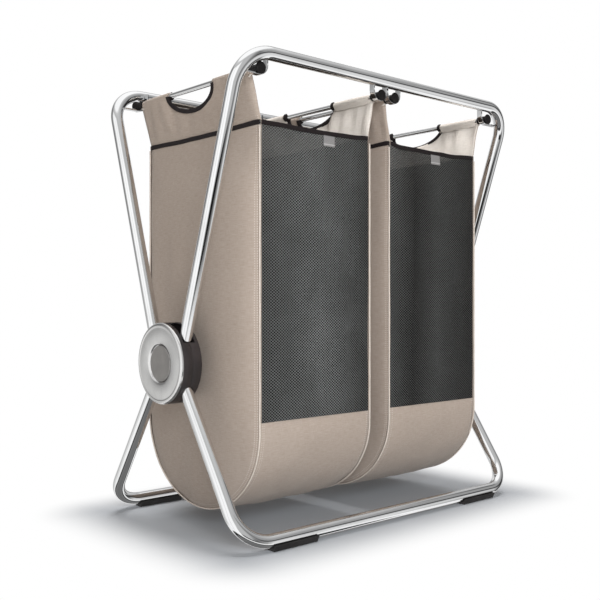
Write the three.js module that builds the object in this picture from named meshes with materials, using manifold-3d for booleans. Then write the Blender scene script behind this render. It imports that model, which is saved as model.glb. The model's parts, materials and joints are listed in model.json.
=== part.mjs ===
// Laundry hamper with two hanging bags on a folding frame of chromed tube.
// Millimetres, +Z up. X runs along the rails, -Y is the front with the mesh panels.
// The origin lies on the floor under the middle of the hamper.
import * as THREE from 'three';
import { mergeVertices } from 'three/addons/utils/BufferGeometryUtils.js';
import Module from 'manifold-3d';

const wasm = await Module();
wasm.setup();

// Frame: four U tubes, each a rail with two bends and two legs that end in the hubs
const tubeDiameter = 20;
const tubeWall = 1.2;
const legSpan = 620;
const topRailHeight = 710;
const topRailHalfDepth = 177.5;
const lowRailHalfDepth = 180;
const topBendRadius = 54.5;
const lowBendRadius = 52;
const footThickness = 5;
const tubeRadius = tubeDiameter / 2;
const lowRailHeight = footThickness + tubeRadius;

// Hubs: a drum of two shells round a rotor, on each side of the hamper
const hubHeight = 261;
const drumRadius = 62.5;
const drumHalfWidth = 15.8;
const drumRimWall = 2.5;
const drumFaceWall = 2.3;
const upperLegMiss = 27.7;
const lowerLegMiss = 15.2;
const upperTubeStart = 20;
const lowerTubeStart = 26;
const socketWall = 3;
const upperSocketEnd = 43;
const lowerSocketEnd = 52;
const rotorHalfWidth = 9;
const rotorHubRadius = 16;
const webHalfWidth = 6;
const bossRadius = 11;
const postRadius = 4.5;
const postPlace = 52;
const screwRadius = 1.6;
const screwHeadRadius = 3;
const screwHeadThickness = 1.6;
const screwDepth = 22;
const axleRadius = 4;
const axleHeadRadius = 7.6;
const axleHeadThickness = 3.8;
const nutThickness = 3.8;
const ringRimThickness = 1.3;
const ringDomeRise = 4.4;
const ringInnerRadius = 30.6;
const ringBevel = 3.4;
const capRadius = 30;
const capThickness = 2.6;
const capEdge = 0.8;

// Hooks: bent strips welded behind the top rails, one round seat for each rod
const stripThickness = 2.5;
const stripWidth = 10;
const seatRadius = 13.4;
const armRise = 2;
const runEndFromLeg = 13;

// Rods across the hamper, with a black cap on each end
const rodDiameter = 8;
const rodDrop = 20.2;
const outerRodFromLeg = 42.5;
const capFlangeDiameter = 18;
const capFlangeThickness = 2.5;
const capNeckDiameter = 13;
const capNeckLength = 20;
const flangeEdge = 0.8;
const flangeGap = 1;
const sleeveEndGap = 0.6;
const outerRodPlace = legSpan / 2 - outerRodFromLeg;

// Bags: two side panels, a wrap panel, a mesh front and a bound rim each
const bagFromLeg = 56;
const bagInnerFace = 22.5;
const bagHalfDepth = 149;
const bagBottom = 30;
const bagCurveStart = 162;
const rimDrop = 89;
const meshBottom = 178;
const cloth = 2;
const meshThickness = 1.5;
const tapeWidth = 7.5;
const tapeThickness = 1.2;
const sleeveDiameter = 12;
const handHoleCentre = 4;
const handHoleHalfLength = 62;
const handHoleDrop = 36;
const handBindingWidth = 4.5;
const handBindingThickness = 3.6;
const tagWidth = 27;
const tagHeight = 17;
const tagThickness = 0.6;
const leftTagInset = 139;
const rightTagInset = 113;
const bagOuterFace = legSpan / 2 - bagFromLeg;
const rimTop = topRailHeight - rimDrop;

// Feet: half-round pads under the low rails, beside the bends
const footLength = 84;
const footTopHalfWidth = 12.6;
const footBottomHalfWidth = 8;
const footTopHeight = 10;

// Gaps: rest between touching pieces, and running between moving ones
const gap = 0.3;
const overrun = 4;

// How finely round shapes are divided, and how near two corners are to be one
const tubeSides = 12;
const bendSteps = 6;
const drumSides = 32;
const windowSteps = 6;
const smallSides = 12;
const screwSides = 8;
const nutSides = 6;
const seatSteps = 8;
const footSteps = 8;
const bagCurveSteps = 14;
const handHoleSides = 20;
const mergeTolerance = 1e-4;

const finishes = {
  chrome: new THREE.MeshStandardMaterial({ color: 0xd4d4d6, roughness: 0.12, metalness: 1 }),
  black: new THREE.MeshStandardMaterial({ color: 0x2b2829, roughness: 0.5, metalness: 0 }),
  grey: new THREE.MeshStandardMaterial({ color: 0x7b7b79, roughness: 0.6, metalness: 0 }),
  rubber: new THREE.MeshStandardMaterial({ color: 0x141414, roughness: 0.8, metalness: 0 }),
  steel: new THREE.MeshStandardMaterial({ color: 0xa9a9ab, roughness: 0.35, metalness: 1 }),
  canvas: new THREE.MeshStandardMaterial({ color: 0xa89c90, roughness: 0.95, metalness: 0 }),
  mesh: new THREE.MeshStandardMaterial({ color: 0x4c4b48, roughness: 0.9, metalness: 0 }),
  tape: new THREE.MeshStandardMaterial({ color: 0x171113, roughness: 0.85, metalness: 0 }),
  tag: new THREE.MeshStandardMaterial({ color: 0x8c8b88, roughness: 0.9, metalness: 0 }),
};

const hamper = new THREE.Group();

function add(name, geometry, finish) {
  const piece = new THREE.Mesh(geometry, finish);
  piece.name = name;
  hamper.add(piece);
}

// Solids for the boolean cuts and joins
function solid(geometry) {
  const bare = geometry.clone();
  bare.deleteAttribute('normal');
  bare.deleteAttribute('uv');
  const merged = mergeVertices(bare, mergeTolerance);
  const vertProperties = new Float32Array(merged.attributes.position.array);
  const triVerts = new Uint32Array(merged.index.array);
  return new wasm.Manifold(new wasm.Mesh({ numProp: 3, vertProperties, triVerts }));
}

function shell(manifold) {
  const mesh = manifold.getMesh();
  const geometry = new THREE.BufferGeometry();
  const corners = new Float32Array(mesh.vertProperties);
  geometry.setAttribute('position', new THREE.BufferAttribute(corners, 3));
  geometry.setIndex(new THREE.BufferAttribute(new Uint32Array(mesh.triVerts), 1));
  geometry.computeVertexNormals();
  return geometry;
}

// Plain outlines and extrusions along X and along Y
const axisX = new THREE.Vector3(1, 0, 0);
const axisY = new THREE.Vector3(0, 1, 0);
const axisZ = new THREE.Vector3(0, 0, 1);

function flatPoints(points) {
  return points.map(([u, v]) => new THREE.Vector2(u, v));
}

function outline(points) {
  return new THREE.Shape(flatPoints(points));
}

function outlineWithHole(points, hole) {
  const shape = outline(points);
  shape.holes.push(new THREE.Path(flatPoints(hole)));
  return shape;
}

function circle(radius, sides, u = 0, v = 0) {
  const points = [];
  for (let k = 0; k < sides; k += 1) {
    const angle = (2 * Math.PI * k) / sides;
    points.push([u + radius * Math.cos(angle), v + radius * Math.sin(angle)]);
  }
  return points;
}

function rectangle(uLow, uHigh, vLow, vHigh) {
  return [[uLow, vLow], [uHigh, vLow], [uHigh, vHigh], [uLow, vHigh]];
}

// An outline in Y and Z, pushed along X
function plateX(shape, xLow, xHigh) {
  const geometry = new THREE.ExtrudeGeometry(shape, { depth: xHigh - xLow, bevelEnabled: false });
  geometry.applyMatrix4(new THREE.Matrix4().makeBasis(axisY, axisZ, axisX));
  return geometry.translate(xLow, 0, 0);
}

// An outline in X and Z, pushed along Y
function plateY(shape, yLow, yHigh) {
  const geometry = new THREE.ExtrudeGeometry(shape, { depth: yHigh - yLow, bevelEnabled: false });
  geometry.applyMatrix4(new THREE.Matrix4().makeBasis(axisX, axisZ, axisY.clone().negate()));
  return geometry.translate(0, yHigh, 0);
}

// A round bar between two points
function bar(radius, from, to, sides) {
  const along = to.clone().sub(from);
  const geometry = new THREE.CylinderGeometry(radius, radius, along.length(), sides);
  const turn = new THREE.Quaternion().setFromUnitVectors(axisY, along.clone().normalize());
  geometry.applyQuaternion(turn);
  const middle = from.clone().add(to).multiplyScalar(1 / 2);
  return geometry.translate(middle.x, middle.y, middle.z);
}

// A leg's line in the plane of a hub: where it passes the axle, and which way it runs
function legLine(halfDepth, rise, miss, ySide) {
  const reach = Math.hypot(halfDepth, rise);
  const lean = Math.atan2(halfDepth, Math.abs(rise)) - Math.asin(miss / reach);
  const up = Math.sign(rise);
  const along = new THREE.Vector3(0, ySide * Math.sin(lean), up * Math.cos(lean));
  const out = new THREE.Vector3(0, ySide * Math.cos(lean), -up * Math.sin(lean));
  const foot = out.clone().multiplyScalar(miss);
  foot.z += hubHeight;
  const length = Math.sqrt(reach ** 2 - miss ** 2);
  return { along, out, foot, length, lean, miss, ySide };
}

const lines = {
  backUpper: legLine(topRailHalfDepth, topRailHeight - hubHeight, upperLegMiss, 1),
  frontUpper: legLine(topRailHalfDepth, topRailHeight - hubHeight, upperLegMiss, -1),
  backLower: legLine(lowRailHalfDepth, lowRailHeight - hubHeight, lowerLegMiss, 1),
  frontLower: legLine(lowRailHalfDepth, lowRailHeight - hubHeight, lowerLegMiss, -1),
};

// A point on a leg's line at a distance from its foot, in the plane at x
function onLine(line, distance, x) {
  const point = line.foot.clone().addScaledVector(line.along, distance);
  point.x = x;
  return point;
}

// A path whose stations crowd at the bends
class StationPath extends THREE.Curve {
  constructor(stations) {
    super();
    this.stations = stations;
  }

  getPoint(t, target = new THREE.Vector3()) {
    const last = this.stations.length - 1;
    const place = t * last;
    const low = Math.min(Math.floor(place), last - 1);
    return target.lerpVectors(this.stations[low].point, this.stations[low + 1].point, place - low);
  }

  getTangent(t, target = new THREE.Vector3()) {
    const nearest = Math.round(t * (this.stations.length - 1));
    return target.copy(this.stations[nearest].tangent);
  }

  getUtoTmapping(u) {
    return u;
  }
}

function sweep(section, stations) {
  const extrudePath = new StationPath(stations);
  const steps = stations.length - 1;
  return new THREE.ExtrudeGeometry(section, { steps, bevelEnabled: false, extrudePath });
}

function tubeStations(line, start, bend) {
  const half = legSpan / 2;
  const stations = [];
  // A station's tangent is given by how far it has turned from the first leg's direction
  const place = (x, distance, turned) => {
    const tangent = line.along.clone().multiplyScalar(Math.cos(turned));
    tangent.addScaledVector(axisX, Math.sin(turned));
    stations.push({ point: onLine(line, distance, x), tangent });
  };
  place(-half, start, 0);
  for (const [centre, firstTurn] of [[bend - half, 0], [half - bend, Math.PI / 2]]) {
    for (let k = 0; k <= bendSteps; k += 1) {
      const turned = firstTurn + (Math.PI / 2) * (k / bendSteps);
      const x = centre - bend * Math.cos(turned);
      place(x, line.length - bend + bend * Math.sin(turned), turned);
    }
  }
  place(half, start, Math.PI);
  return stations;
}

const tubeBore = circle(tubeRadius - tubeWall, tubeSides);
const tubeSection = outlineWithHole(circle(tubeRadius, tubeSides), tubeBore);
const uTubes = [
  ['back_upper_tube', lines.backUpper, upperTubeStart, topBendRadius],
  ['front_upper_tube', lines.frontUpper, upperTubeStart, topBendRadius],
  ['back_lower_tube', lines.backLower, lowerTubeStart, lowBendRadius],
  ['front_lower_tube', lines.frontLower, lowerTubeStart, lowBendRadius],
];
for (const [name, line, start, bend] of uTubes) {
  add(name, sweep(tubeSection, tubeStations(line, start, bend)), finishes.chrome);
}

// Hubs. The back upper and front lower legs are clamped between the two shells.
// The front upper and back lower legs sit in the rotor, which turns on the axle.
const foldRange = lines.frontUpper.lean + lines.backUpper.lean;
const socketRadius = tubeRadius + gap + socketWall;
const boreRadius = tubeRadius + gap;

function disc(radius, xLow, xHigh, sides) {
  return solid(plateX(outline(circle(radius, sides, 0, hubHeight)), xLow, xHigh));
}

function post(radius, y, xLow, xHigh, sides) {
  const from = new THREE.Vector3(xLow, y, hubHeight);
  const to = new THREE.Vector3(xHigh, y, hubHeight);
  return solid(bar(radius, from, to, sides));
}

function legBar(line, radius, from, to, x) {
  return solid(bar(radius, onLine(line, from, x), onLine(line, to, x), smallSides));
}

// The hole for the axle, right through the hub
function axleHole(x) {
  const reach = drumHalfWidth + overrun;
  return post(axleRadius + gap, 0, x - reach, x + reach, smallSides);
}

// The angle from straight up, positive to the back, at which a line beside a leg crosses a circle
function crossing(line, aside, radius) {
  const angle = line.lean + Math.asin((line.miss + aside) / radius);
  return line.ySide * (line.along.z > 0 ? angle : Math.PI - angle);
}

// The slot in the rim that a moving leg swings through when the frame folds
function rimWindow(line, x) {
  const innerRadius = drumRadius - drumRimWall;
  const low = crossing(line, boreRadius, innerRadius);
  const high = crossing(line, -boreRadius, drumRadius) + foldRange;
  const arc = (radius) => {
    const points = [];
    for (let k = 0; k <= windowSteps; k += 1) {
      const angle = low + ((high - low) * k) / windowSteps;
      points.push([radius * Math.sin(angle), hubHeight + radius * Math.cos(angle)]);
    }
    return points;
  };
  const points = [...arc(innerRadius - overrun), ...arc(drumRadius + overrun).reverse()];
  return solid(plateX(outline(points), x - boreRadius, x + boreRadius));
}

// The two places along X in rising order, as the calls above take them
function rising(one, other) {
  return [Math.min(one, other), Math.max(one, other)];
}

// One half of a drum. side says which half, outward which way the hub's chrome cover faces.
function hubShell(x, side, outward) {
  const face = x + side * drumHalfWidth;
  const past = face + side * overrun;
  const parting = x + side * (gap / 2);
  const depth = rising(face, parting);
  const hollowDepth = rising(x, x + side * (drumHalfWidth - drumFaceWall));
  let body = disc(drumRadius, ...depth, drumSides);
  body = body.subtract(disc(drumRadius - drumRimWall, ...hollowDepth, drumSides));
  // Cradles clamp the two fixed legs, and the moving ones have windows
  const keepIn = disc(drumRadius - gap, ...depth, drumSides);
  const fixedLegs = [[lines.backUpper, upperTubeStart], [lines.frontLower, lowerTubeStart]];
  for (const [line, start] of fixedLegs) {
    const cradle = legBar(line, socketRadius, start - socketWall, drumRadius + overrun, x);
    body = body.add(cradle.intersect(keepIn));
    body = body.subtract(legBar(line, boreRadius, start - gap, drumRadius + overrun, x));
  }
  for (const line of [lines.frontUpper, lines.backLower]) {
    body = body.subtract(rimWindow(line, x));
  }
  // The boss that the rotor runs against, and the pocket for the axle's head or nut
  const bossEnd = x + side * (rotorHalfWidth + gap);
  const pocket = face - side * (axleHeadThickness + gap);
  body = body.add(disc(bossRadius, ...rising(bossEnd, face), smallSides));
  body = body.subtract(axleHole(x));
  body = body.subtract(post(axleHeadRadius + gap, 0, ...rising(pocket, past), smallSides));
  // Two posts for the screws, which enter from the inner face and end in the outer shell
  const tip = x + outward * (screwDepth - drumHalfWidth + gap);
  const head = face - side * (screwHeadThickness + gap);
  const shank = rising(x - side * gap, side === outward ? tip : past);
  for (const y of [-postPlace, postPlace]) {
    body = body.add(post(postRadius, y, ...depth, smallSides));
    body = body.subtract(post(screwRadius + gap, y, ...shank, screwSides));
    if (side !== outward) {
      body = body.subtract(post(screwHeadRadius + gap, y, ...rising(head, past), screwSides));
    }
  }
  return shell(body);
}

// A flat web that ties a socket to the middle of the rotor
function web(line, from, to, x) {
  const corner = (distance, inward) => {
    const point = onLine(line, distance, x).addScaledVector(line.out, -inward);
    return [point.y, point.z];
  };
  const points = [corner(from, line.miss), corner(to, line.miss), corner(to, 0), corner(from, 0)];
  if (THREE.ShapeUtils.isClockWise(flatPoints(points))) {
    points.reverse();
  }
  return solid(plateX(outline(points), x - webHalfWidth, x + webHalfWidth));
}

function rotor(x) {
  let body = disc(rotorHubRadius, x - rotorHalfWidth, x + rotorHalfWidth, smallSides);
  const sockets = [
    [lines.frontUpper, upperTubeStart, upperSocketEnd],
    [lines.backLower, lowerTubeStart, lowerSocketEnd],
  ];
  for (const [line, start, end] of sockets) {
    body = body.add(legBar(line, socketRadius - gap / 2, start - socketWall, end, x));
    body = body.add(web(line, rotorHubRadius / 2, end, x));
  }
  for (const [line, start, end] of sockets) {
    body = body.subtract(legBar(line, boreRadius, start - gap, end + overrun, x));
  }
  return shell(body.subtract(axleHole(x)));
}

function axleBolt(x, outward) {
  const face = x + outward * drumHalfWidth;
  const headBottom = face - outward * axleHeadThickness;
  const end = x - outward * (drumHalfWidth - gap);
  const head = post(axleHeadRadius, 0, ...rising(headBottom, face), smallSides);
  const shank = post(axleRadius, 0, ...rising((headBottom + face) / 2, end), smallSides);
  return shell(head.add(shank));
}

function axleNut(x, outward) {
  const seat = x - outward * (drumHalfWidth - nutThickness);
  const end = x - outward * drumHalfWidth;
  const nut = post(axleHeadRadius, 0, ...rising(seat, end), nutSides);
  return shell(nut.subtract(axleHole(x)));
}

function shellScrew(x, outward, y) {
  const face = x - outward * drumHalfWidth;
  const headBottom = face + outward * screwHeadThickness;
  const tip = face + outward * screwDepth;
  const head = post(screwHeadRadius, y, ...rising(face, headBottom), screwSides);
  const shank = post(screwRadius, y, ...rising((headBottom + face) / 2, tip), screwSides);
  return shell(head.add(shank));
}

// A round piece turned about the axle: points are radius and distance out of the drum's face
function turned(points, x, outward, sides) {
  const geometry = new THREE.LatheGeometry(flatPoints(points), sides);
  geometry.rotateZ(-outward * (Math.PI / 2));
  return geometry.translate(x + outward * drumHalfWidth, 0, hubHeight);
}

function chromeRing(x, outward) {
  const domeShares = [[0.75, 0.72], [0.45, 0.95], [0.12, 1]];
  const width = drumRadius - ringInnerRadius;
  const rimTopEdge = gap + ringRimThickness;
  const rise = ringDomeRise - ringRimThickness;
  const profile = [[ringInnerRadius, gap], [drumRadius, gap], [drumRadius, rimTopEdge]];
  for (const [widthShare, riseShare] of domeShares) {
    profile.push([ringInnerRadius + widthShare * width, rimTopEdge + riseShare * rise]);
  }
  profile.push([ringInnerRadius, gap + ringDomeRise - ringBevel / 2]);
  profile.push([ringInnerRadius, gap]);
  return turned(profile, x, outward, drumSides);
}

function centreCap(x, outward) {
  const top = gap + capThickness;
  const profile = [
    [0, gap], [capRadius, gap], [capRadius, top - capEdge], [capRadius - capEdge, top], [0, top],
  ];
  return turned(profile, x, outward, drumSides);
}

for (const [word, outward] of [['left', -1], ['right', 1]]) {
  const x = (outward * legSpan) / 2;
  add(`${word}_hub_outer_shell`, hubShell(x, outward, outward), finishes.black);
  add(`${word}_hub_inner_shell`, hubShell(x, -outward, outward), finishes.black);
  add(`${word}_hub_rotor`, rotor(x), finishes.black);
  add(`${word}_hub_axle_bolt`, axleBolt(x, outward), finishes.steel);
  add(`${word}_hub_axle_nut`, axleNut(x, outward), finishes.steel);
  add(`${word}_hub_front_screw`, shellScrew(x, outward, -postPlace), finishes.steel);
  add(`${word}_hub_back_screw`, shellScrew(x, outward, postPlace), finishes.steel);
  add(`${word}_hub_chrome_ring`, chromeRing(x, outward), finishes.chrome);
  add(`${word}_hub_centre_cap`, centreCap(x, outward), finishes.grey);
}

// Hooks. Each strip stands on edge behind its top rail, with a round seat under each rod.
const rodHeight = topRailHeight - rodDrop;
const seatTop = rodHeight - capNeckDiameter / 2 - gap;
const seatCentre = seatTop + seatRadius;
const armTop = topRailHeight + armRise;
const innerRodPlace = seatRadius + stripThickness;
const hookOuterEdge = topRailHalfDepth - tubeRadius - gap;
const hookInnerEdge = hookOuterEdge - stripWidth;
const lowestTurn = (3 * Math.PI) / 2;

function seatArc(radius, x, from, to) {
  const points = [];
  for (let k = 0; k <= seatSteps; k += 1) {
    const angle = from + ((to - from) * k) / seatSteps;
    points.push([x + radius * Math.cos(angle), seatCentre + radius * Math.sin(angle)]);
  }
  return points;
}

function doubleSeat() {
  const outer = seatRadius + stripThickness;
  const halves = [-innerRodPlace, innerRodPlace].map((x) => {
    const points = [
      [x - outer, armTop], ...seatArc(outer, x, Math.PI, 2 * Math.PI), [x + outer, armTop],
      [x + seatRadius, armTop], ...seatArc(seatRadius, x, 2 * Math.PI, Math.PI), [x - seatRadius, armTop],
    ];
    return solid(plateY(outline(points), hookInnerEdge, hookOuterEdge));
  });
  return halves[0].add(halves[1]);
}

function cornerSeat(xSide) {
  const outer = seatRadius + stripThickness;
  const runEnd = legSpan / 2 - runEndFromLeg;
  const x = outerRodPlace;
  const points = [
    [x - outer, armTop], ...seatArc(outer, x, Math.PI, lowestTurn), [runEnd, seatTop - stripThickness],
    [runEnd, seatTop], ...seatArc(seatRadius, x, lowestTurn, Math.PI), [x - seatRadius, armTop],
  ];
  const placed = xSide > 0 ? points : points.map(([u, v]) => [-u, v]).reverse();
  return solid(plateY(outline(placed), hookInnerEdge, hookOuterEdge));
}

// The tube with its weld gap, which shapes the end of a corner hook
function tubeWithGap(line, bend) {
  return solid(sweep(outline(circle(boreRadius, tubeSides)), tubeStations(line, upperTubeStart, bend)));
}

function hooks(word, ySide, line) {
  const flip = (manifold) => {
    const geometry = shell(manifold);
    if (ySide < 0) {
      geometry.translate(0, -hookInnerEdge - hookOuterEdge, 0);
    }
    return solid(geometry);
  };
  const fat = tubeWithGap(line, topBendRadius);
  add(`${word}_left_hook`, shell(flip(cornerSeat(-1)).subtract(fat)), finishes.chrome);
  add(`${word}_middle_hook`, shell(flip(doubleSeat()).subtract(fat)), finishes.chrome);
  add(`${word}_right_hook`, shell(flip(cornerSeat(1)).subtract(fat)), finishes.chrome);
}

hooks('front', -1, lines.frontUpper);
hooks('back', 1, lines.backUpper);

// Feet. Each pad hugs the underside of a low rail and is flat where it stands.
function foot(xSide, ySide) {
  const y = ySide * lowRailHalfDepth;
  const start = Math.asin((lowRailHeight - footTopHeight) / boreRadius);
  const points = [[y - footBottomHalfWidth, 0], [y + footBottomHalfWidth, 0]];
  points.push([y + footTopHalfWidth, footTopHeight]);
  for (let k = 0; k <= footSteps; k += 1) {
    const angle = -start - ((Math.PI - 2 * start) * k) / footSteps;
    points.push([y + boreRadius * Math.cos(angle), lowRailHeight + boreRadius * Math.sin(angle)]);
  }
  points.push([y - footTopHalfWidth, footTopHeight]);
  const outerEnd = legSpan / 2 - lowBendRadius;
  return plateX(outline(points), ...rising(xSide * outerEnd, xSide * (outerEnd - footLength)));
}

for (const [row, ySide] of [['front', -1], ['back', 1]]) {
  for (const [word, xSide] of [['left', -1], ['right', 1]]) {
    add(`${row}_${word}_foot`, foot(xSide, ySide), finishes.rubber);
  }
}

// Rods with their caps. The caps' necks lie in the hooks, and the flanges stop them outside.
const flangeFace = hookOuterEdge + flangeGap;
const neckEnd = flangeFace - capNeckLength;

function rod(x) {
  const from = new THREE.Vector3(x, -flangeFace + gap, rodHeight);
  const to = new THREE.Vector3(x, flangeFace - gap, rodHeight);
  return bar(rodDiameter / 2, from, to, smallSides);
}

function rodCap(x, ySide) {
  const bore = rodDiameter / 2 + gap;
  const flange = capFlangeDiameter / 2;
  const neck = capNeckDiameter / 2;
  const profile = [
    [0, 0], [bore, 0], [bore, -capNeckLength], [neck, -capNeckLength], [neck, 0],
    [flange - flangeEdge, 0], [flange, flangeEdge], [flange, capFlangeThickness - flangeEdge],
    [flange - flangeEdge, capFlangeThickness], [0, capFlangeThickness],
  ];
  const geometry = new THREE.LatheGeometry(flatPoints(profile), smallSides);
  if (ySide < 0) {
    geometry.rotateX(Math.PI);
  }
  return geometry.translate(x, ySide * flangeFace, rodHeight);
}

// Bags
const panelTop = rimTop + gap;
const meshTop = rimTop - gap;
const sleeveEnd = neckEnd - sleeveEndGap;

// The U-shaped side view, drawn in from the true outline by an inset
function sideCurve(inset, start, end) {
  const half = bagHalfDepth - inset;
  const drop = bagCurveStart - bagBottom - inset;
  const points = [];
  for (let k = 0; k <= bagCurveSteps; k += 1) {
    const angle = start + ((end - start) * k) / bagCurveSteps;
    points.push([half * Math.cos(angle), bagCurveStart - drop * Math.sin(angle)]);
  }
  return points;
}

// A side panel's flap leans from the rim to the rod. This turns a plate at its face to that lean.
function leanTo(geometry, x, rodX) {
  const lean = Math.atan2(rodX - x, rodHeight - panelTop);
  return geometry.translate(-x, 0, -panelTop).rotateY(lean).translate(x, 0, panelTop);
}

// The half-round hand hole under the rod, as a solid to cut with
function handHole(grow, xLow, xHigh) {
  const halfLength = handHoleHalfLength + grow;
  const drop = handHoleDrop + grow;
  const top = rodHeight + sleeveDiameter / 2;
  const points = [];
  for (let k = 0; k < handHoleSides; k += 1) {
    const angle = (2 * Math.PI * k) / handHoleSides;
    points.push([handHoleCentre + halfLength * Math.cos(angle), top + drop * Math.sin(angle)]);
  }
  return solid(plateX(outline(points), xLow, xHigh));
}

function flapPlate(x, rodX, thickness, low) {
  const slope = Math.hypot(rodX - x, rodHeight - panelTop);
  const face = outline(rectangle(-sleeveEnd, sleeveEnd, low, panelTop + slope));
  return solid(leanTo(plateX(face, x - thickness / 2, x + thickness / 2), x, rodX));
}

// A round bar along a rod's line, as long to the front as to the back
function rodwise(radius, x, halfLength) {
  const from = new THREE.Vector3(x, -halfLength, rodHeight);
  const to = new THREE.Vector3(x, halfLength, rodHeight);
  return solid(bar(radius, from, to, smallSides));
}

// From one side of a leaning flap to the other, with room for a cut
function flapSpan(faceX, rodX) {
  return [Math.min(faceX, rodX) - tapeWidth, Math.max(faceX, rodX) + tapeWidth];
}

function sidePanel(faceX, inward, rodX) {
  const other = faceX + inward * cloth;
  const edge = [[bagHalfDepth, panelTop], ...sideCurve(0, 0, Math.PI), [-bagHalfDepth, panelTop]];
  const lower = solid(plateX(outline(edge.reverse()), ...rising(faceX, other)));
  const flap = flapPlate((faceX + other) / 2, rodX, cloth, panelTop - gap);
  const sleeve = rodwise(sleeveDiameter / 2, rodX, sleeveEnd);
  const bore = rodwise(rodDiameter / 2 + gap, rodX, sleeveEnd + overrun);
  const hole = handHole(handBindingWidth, ...flapSpan(faceX, rodX));
  return shell(lower.add(flap).add(sleeve).subtract(bore).subtract(hole));
}

function handBinding(faceX, inward, rodX) {
  const middle = faceX + (inward * cloth) / 2;
  const span = flapSpan(faceX, rodX);
  const plate = flapPlate(middle, rodX, handBindingThickness, panelTop - gap);
  const ring = handHole(handBindingWidth - gap, ...span).subtract(handHole(0, ...span));
  const sleeveBottom = rodHeight - sleeveDiameter / 2;
  const underSleeve = outline(rectangle(-bagHalfDepth, bagHalfDepth, panelTop, sleeveBottom));
  return shell(plate.intersect(ring).intersect(solid(plateX(underSleeve, ...span))));
}

function wrapPanel(xLow, xHigh) {
  const inner = bagHalfDepth - cloth;
  const frontTop = meshBottom - gap;
  const points = [
    [bagHalfDepth, meshTop], ...sideCurve(0, 0, Math.PI), [-bagHalfDepth, frontTop],
    [-inner, frontTop], ...sideCurve(cloth, Math.PI, 0), [inner, meshTop],
  ];
  return plateX(outline(points.reverse()), xLow, xHigh);
}

function meshPanel(xLow, xHigh) {
  const inside = -bagHalfDepth + meshThickness;
  return plateX(outline(rectangle(-bagHalfDepth, inside, meshBottom, meshTop)), xLow, xHigh);
}

function rimBinding(xLow, xHigh) {
  const loop = (out) => rectangle(xLow - out, xHigh + out, -bagHalfDepth - out, bagHalfDepth + out);
  const shape = outlineWithHole(loop(gap + tapeThickness), loop(gap));
  const geometry = new THREE.ExtrudeGeometry(shape, { depth: tapeWidth, bevelEnabled: false });
  return geometry.translate(0, 0, rimTop - tapeWidth);
}

function tag(x) {
  const top = rimTop - tapeWidth - gap;
  const face = outline(rectangle(x - tagWidth / 2, x + tagWidth / 2, top - tagHeight, top));
  return plateY(face, -bagHalfDepth - gap - tagThickness, -bagHalfDepth - gap);
}

for (const [word, xSide, tagInset] of [['left', -1, leftTagInset], ['right', 1, rightTagInset]]) {
  const outerFace = xSide * bagOuterFace;
  const innerFace = xSide * bagInnerFace;
  const outerRod = xSide * outerRodPlace;
  const innerRod = xSide * innerRodPlace;
  for (const [place, x] of [['outer', outerRod], ['inner', innerRod]]) {
    add(`${word}_bag_${place}_rod`, rod(x), finishes.chrome);
    add(`${word}_bag_${place}_rod_front_cap`, rodCap(x, -1), finishes.black);
    add(`${word}_bag_${place}_rod_back_cap`, rodCap(x, 1), finishes.black);
  }
  add(`${word}_bag_outer_panel`, sidePanel(outerFace, -xSide, outerRod), finishes.canvas);
  add(`${word}_bag_inner_panel`, sidePanel(innerFace, xSide, innerRod), finishes.canvas);
  const between = rising(outerFace - xSide * (cloth + gap), innerFace + xSide * (cloth + gap));
  add(`${word}_bag_wrap_panel`, wrapPanel(...between), finishes.canvas);
  add(`${word}_bag_mesh_panel`, meshPanel(...between), finishes.mesh);
  add(`${word}_bag_rim_binding`, rimBinding(...rising(outerFace, innerFace)), finishes.tape);
  const outerBinding = handBinding(outerFace, -xSide, outerRod);
  const innerBinding = handBinding(innerFace, xSide, innerRod);
  add(`${word}_bag_outer_hand_hole_binding`, outerBinding, finishes.tape);
  add(`${word}_bag_inner_hand_hole_binding`, innerBinding, finishes.tape);
  add(`${word}_bag_tag`, tag(xSide * (bagOuterFace - tagInset)), finishes.tag);
}

export default hamper;
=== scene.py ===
import json
import math

import bmesh
import bpy
from mathutils import Matrix, Vector, noise

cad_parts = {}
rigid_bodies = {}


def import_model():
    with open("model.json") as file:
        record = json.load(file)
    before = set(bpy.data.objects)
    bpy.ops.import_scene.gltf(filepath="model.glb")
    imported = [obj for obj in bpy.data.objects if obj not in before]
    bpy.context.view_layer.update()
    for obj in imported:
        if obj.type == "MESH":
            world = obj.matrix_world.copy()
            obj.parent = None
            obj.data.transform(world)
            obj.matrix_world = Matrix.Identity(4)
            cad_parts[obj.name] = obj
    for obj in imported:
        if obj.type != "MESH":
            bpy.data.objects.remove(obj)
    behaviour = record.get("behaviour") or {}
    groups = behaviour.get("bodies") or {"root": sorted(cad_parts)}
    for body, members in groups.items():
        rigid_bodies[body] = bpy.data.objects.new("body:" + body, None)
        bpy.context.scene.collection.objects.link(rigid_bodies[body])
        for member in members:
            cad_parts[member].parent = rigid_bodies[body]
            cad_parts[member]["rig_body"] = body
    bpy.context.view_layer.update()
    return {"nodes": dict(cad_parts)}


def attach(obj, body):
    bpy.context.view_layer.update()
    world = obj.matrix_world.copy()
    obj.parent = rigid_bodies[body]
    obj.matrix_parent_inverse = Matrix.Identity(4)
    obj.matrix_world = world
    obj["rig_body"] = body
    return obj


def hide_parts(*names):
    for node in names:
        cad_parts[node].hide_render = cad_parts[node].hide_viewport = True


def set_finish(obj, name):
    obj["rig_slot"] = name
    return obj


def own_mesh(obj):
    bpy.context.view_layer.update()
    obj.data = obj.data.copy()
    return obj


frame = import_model()

# The studio, which isn't part of the hamper: a matt floor, white away from the hamper, that runs
# out into a white background. The soft shadow under the bags stays on it, its colour is painted
# grey near the hamper as painted shade that deepens that shadow, and only its far part glows.
mm = 0.001


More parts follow.
